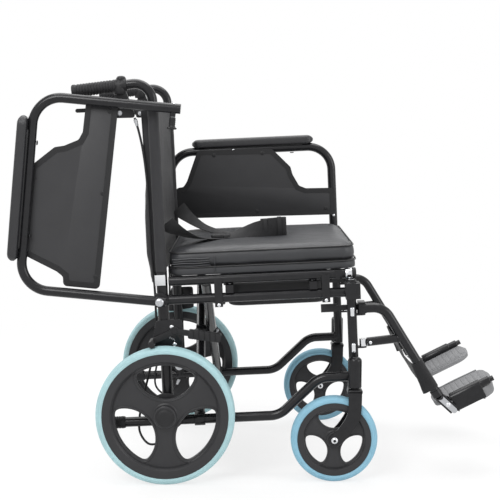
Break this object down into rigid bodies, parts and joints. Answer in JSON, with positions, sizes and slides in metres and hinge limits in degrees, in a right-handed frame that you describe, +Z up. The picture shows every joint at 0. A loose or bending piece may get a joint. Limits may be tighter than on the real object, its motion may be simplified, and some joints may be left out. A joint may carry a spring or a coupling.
{
  "type": "folding transit wheelchair",
  "caption": "Folding steel-tube attendant wheelchair with flip-back armrests, swing-away legrests, push handles with brake levers and a pan under its cushion.",
  "frame": {"origin": "centre of the bounding box in plan, at the floor under the tyres", "axes": "+X forward to the footplates, +Y to the sitter's left, +Z up"},
  "size_m": [1.1536, 0.612, 0.9217],
  "materials": {
    "gloss_black_steel": "gloss black powder coat",
    "black_plastic": "moulded black plastic",
    "black_rubber": "ribbed black rubber",
    "chrome": "bright plated",
    "bare_steel": "zinc plated",
    "black_vinyl": "fine-grained black vinyl",
    "webbing": "woven black webbing",
    "grey_panel": "charcoal sheet with a darker hem",
    "grey_footplate": "ribbed mid grey",
    "charcoal_rim": "moulded charcoal",
    "teal_tyre": "pale grey-teal solid tyre",
    "blue_tyre": "pale blue solid tyre"
  },
  "bodies": {
    "right_frame": {"right_side_frame": "gloss_black_steel", "right_back_cane": "gloss_black_steel", "right_push_grip": "black_rubber", "right_brake_clamp": "black_plastic", "right_brake_cable": "black_rubber", "right_tip_cap": "black_rubber", "right_post_plug": "chrome", "right_wheel_lock_bracket": "bare_steel", "back_upholstery": "black_vinyl", "lap_belt": "webbing"},
    "right_rear_wheel": {"right_rear_axle": "bare_steel", "right_rear_rim": "charcoal_rim", "right_rear_tyre": "teal_tyre"},
    "right_caster_fork": {"right_caster_fork": "gloss_black_steel", "right_caster_axle": "chrome"},
    "right_caster_wheel": {"right_caster_rim": "charcoal_rim", "right_caster_tyre": "blue_tyre"},
    "right_armrest": {"right_arm_tube": "gloss_black_steel", "right_arm_pad": "black_vinyl", "right_arm_panel": "grey_panel"},
    "right_arm_plunger": {"right_arm_plunger": "bare_steel"},
    "right_brake_lever": {"right_brake_lever": "black_plastic"},
    "right_wheel_lock": {"right_wheel_lock_lever": "black_plastic"},
    "right_legrest": {"right_legrest_hanger": "gloss_black_steel", "calf_strap": "webbing"},
    "right_legrest_latch": {"right_legrest_latch": "black_plastic"},
    "right_leg_extension": {"right_leg_extension": "bare_steel"},
    "right_footplate": {"right_footplate": "grey_footplate"},
    "left_frame": {"left_side_frame": "gloss_black_steel", "left_back_cane": "gloss_black_steel", "left_push_grip": "black_rubber", "left_brake_clamp": "black_plastic", "left_brake_cable": "black_rubber", "left_tip_cap": "black_rubber", "left_post_plug": "chrome", "left_wheel_lock_bracket": "bare_steel"},
    "left_rear_wheel": {"left_rear_axle": "bare_steel", "left_rear_rim": "charcoal_rim", "left_rear_tyre": "teal_tyre"},
    "left_caster_fork": {"left_caster_fork": "gloss_black_steel", "left_caster_axle": "chrome"},
    "left_caster_wheel": {"left_caster_rim": "charcoal_rim", "left_caster_tyre": "blue_tyre"},
    "left_armrest": {"left_arm_tube": "gloss_black_steel", "left_arm_pad": "black_vinyl", "left_arm_panel": "grey_panel"},
    "left_arm_plunger": {"left_arm_plunger": "bare_steel"},
    "left_brake_lever": {"left_brake_lever": "black_plastic"},
    "left_wheel_lock": {"left_wheel_lock_lever": "black_plastic"},
    "left_legrest": {"left_legrest_hanger": "gloss_black_steel"},
    "left_legrest_latch": {"left_legrest_latch": "black_plastic"},
    "left_leg_extension": {"left_leg_extension": "bare_steel"},
    "left_footplate": {"left_footplate": "grey_footplate"},
    "brace_a": {"brace_a": "gloss_black_steel", "brace_pivot": "chrome"},
    "brace_b": {"brace_b": "gloss_black_steel"},
    "pan_carrier": {"pan_carrier": "black_plastic"},
    "commode_pan": {"commode_pan": "black_plastic"},
    "seat_cushion": {"seat_cushion": "black_vinyl"}
  },
  "joints": [
    {"name": "fold", "type": "hinge", "parent": "right_frame", "child": "brace_a", "pos_m": [0.02685, -0.235, 0.14486], "axis": [0.999, 0, 0.0454], "range_deg": [0, 20.5], "deforming": ["back_upholstery", "lap_belt", "calf_strap", "seat_cushion"]},
    {"name": "fold_crossing", "type": "hinge", "parent": "brace_a", "child": "brace_b", "pos_m": [0.01954, 0, 0.30595], "axis": [0.999, 0, 0.0454], "range_deg": [-41, 0]},
    {"name": "fold_left_foot", "type": "hinge", "parent": "brace_b", "child": "left_frame", "pos_m": [0.02685, 0.235, 0.14486], "axis": [0.999, 0, 0.0454], "range_deg": [0, 20.5]},
    {"name": "fold_carrier", "type": "hinge", "parent": "brace_a", "child": "pan_carrier", "pos_m": [0.01954, 0, 0.30595], "axis": [0.999, 0, 0.0454], "range_deg": [-20.5, 0]},
    {"name": "cushion_lift", "type": "slide", "parent": "pan_carrier", "child": "seat_cushion", "axis": [-0.0454, 0, 0.999], "range_m": [0, 0.12], "deforming": ["lap_belt"]},
    {"name": "pan_slide", "type": "slide", "parent": "pan_carrier", "child": "commode_pan", "axis": [0.999, 0, 0.0454], "range_m": [0, 0.26]},
    {"name": "right_rear_wheel_spin", "type": "hinge", "parent": "right_frame", "child": "right_rear_wheel", "pos_m": [-0.22398, -0.28, 0.1575], "axis": [0, 1, 0], "continuous": true},
    {"name": "right_caster_swivel", "type": "hinge", "parent": "right_frame", "child": "right_caster_fork", "pos_m": [0.20532, -0.261, 0.099], "axis": [0, 0, 1], "continuous": true},
    {"name": "right_caster_spin", "type": "hinge", "parent": "right_caster_fork", "child": "right_caster_wheel", "pos_m": [0.15902, -0.261, 0.099], "axis": [0, 1, 0], "continuous": true},
    {"name": "right_armrest_flip", "type": "hinge", "parent": "right_frame", "child": "right_armrest", "pos_m": [-0.23569, -0.267, 0.41523], "axis": [0, 1, 0], "range_deg": [0, 82]},
    {"name": "right_armrest_release", "type": "slide", "parent": "right_armrest", "child": "right_arm_plunger", "axis": [-0.0941, 0, -0.9956], "range_m": [0, 0.008], "stiffness_N_per_m": 400, "springref_m": -0.004},
    {"name": "right_brake_squeeze", "type": "hinge", "parent": "right_frame", "child": "right_brake_lever", "pos_m": [-0.32499, -0.235, 0.83838], "axis": [0, 1, 0], "range_deg": [0, 10], "stiffness_Nm_per_rad": 1.5, "springref_deg": -11.46},
    {"name": "right_wheel_lock_throw", "type": "hinge", "parent": "right_frame", "child": "right_wheel_lock", "pos_m": [-0.20445, -0.235, 0.34458], "axis": [0, 1, 0], "range_deg": [0, 22]},
    {"name": "right_legrest_swing", "type": "hinge", "parent": "right_frame", "child": "right_legrest", "pos_m": [0.23255, -0.235, 0.17823], "axis": [0.0454, 0, -0.999], "range_deg": [0, 90], "deforming": ["calf_strap"]},
    {"name": "right_legrest_release", "type": "hinge", "parent": "right_legrest", "child": "right_legrest_latch", "pos_m": [0.22273, -0.214, 0.39451], "axis": [0.0454, 0, -0.999], "range_deg": [0, 15], "stiffness_Nm_per_rad": 0.6, "springref_deg": -11.46},
    {"name": "right_legrest_length", "type": "slide", "parent": "right_legrest", "child": "right_leg_extension", "axis": [0.5255, 0, -0.8508], "range_m": [0, 0.05]},
    {"name": "right_footplate_flip", "type": "hinge", "parent": "right_leg_extension", "child": "right_footplate", "pos_m": [0.43308, -0.209, 0.17761], "axis": [0.8926, 0, 0.4509], "range_deg": [0, 90]},
    {"name": "left_rear_wheel_spin", "type": "hinge", "parent": "left_frame", "child": "left_rear_wheel", "pos_m": [-0.22398, 0.28, 0.1575], "axis": [0, 1, 0], "continuous": true},
    {"name": "left_caster_swivel", "type": "hinge", "parent": "left_frame", "child": "left_caster_fork", "pos_m": [0.20532, 0.261, 0.099], "axis": [0, 0, 1], "continuous": true},
    {"name": "left_caster_spin", "type": "hinge", "parent": "left_caster_fork", "child": "left_caster_wheel", "pos_m": [0.15902, 0.261, 0.099], "axis": [0, 1, 0], "continuous": true},
    {"name": "left_armrest_flip", "type": "hinge", "parent": "left_frame", "child": "left_armrest", "pos_m": [-0.23569, 0.267, 0.41523], "axis": [0, -1, 0], "range_deg": [0, 82]},
    {"name": "left_armrest_release", "type": "slide", "parent": "left_armrest", "child": "left_arm_plunger", "axis": [-0.999, 0, -0.0454], "range_m": [0, 0.008], "stiffness_N_per_m": 400, "springref_m": -0.004},
    {"name": "left_brake_squeeze", "type": "hinge", "parent": "left_frame", "child": "left_brake_lever", "pos_m": [-0.32499, 0.235, 0.83838], "axis": [0, 1, 0], "range_deg": [0, 10], "stiffness_Nm_per_rad": 1.5, "springref_deg": -11.46},
    {"name": "left_wheel_lock_throw", "type": "hinge", "parent": "left_frame", "child": "left_wheel_lock", "pos_m": [-0.20445, 0.235, 0.34458], "axis": [0, 1, 0], "range_deg": [0, 22]},
    {"name": "left_legrest_swing", "type": "hinge", "parent": "left_frame", "child": "left_legrest", "pos_m": [0.23255, 0.235, 0.17823], "axis": [-0.0454, 0, 0.999], "range_deg": [0, 90], "deforming": ["calf_strap"]},
    {"name": "left_legrest_release", "type": "hinge", "parent": "left_legrest", "child": "left_legrest_latch", "pos_m": [0.22273, 0.214, 0.39451], "axis": [-0.0454, 0, 0.999], "range_deg": [0, 15], "stiffness_Nm_per_rad": 0.6, "springref_deg": -11.46},
    {"name": "left_legrest_length", "type": "slide", "parent": "left_legrest", "child": "left_leg_extension", "axis": [0.5255, 0, -0.8508], "range_m": [0, 0.05]},
    {"name": "left_footplate_flip", "type": "hinge", "parent": "left_leg_extension", "child": "left_footplate", "pos_m": [0.43308, 0.209, 0.17761], "axis": [-0.8926, 0, -0.4509], "range_deg": [0, 90]}
  ],
  "couplings": [
    {"joint": "fold_crossing", "follows": "fold", "ratio": -2},
    {"joint": "fold_left_foot", "follows": "fold", "ratio": 1},
    {"joint": "fold_carrier", "follows": "fold", "ratio": -1}
  ]
}
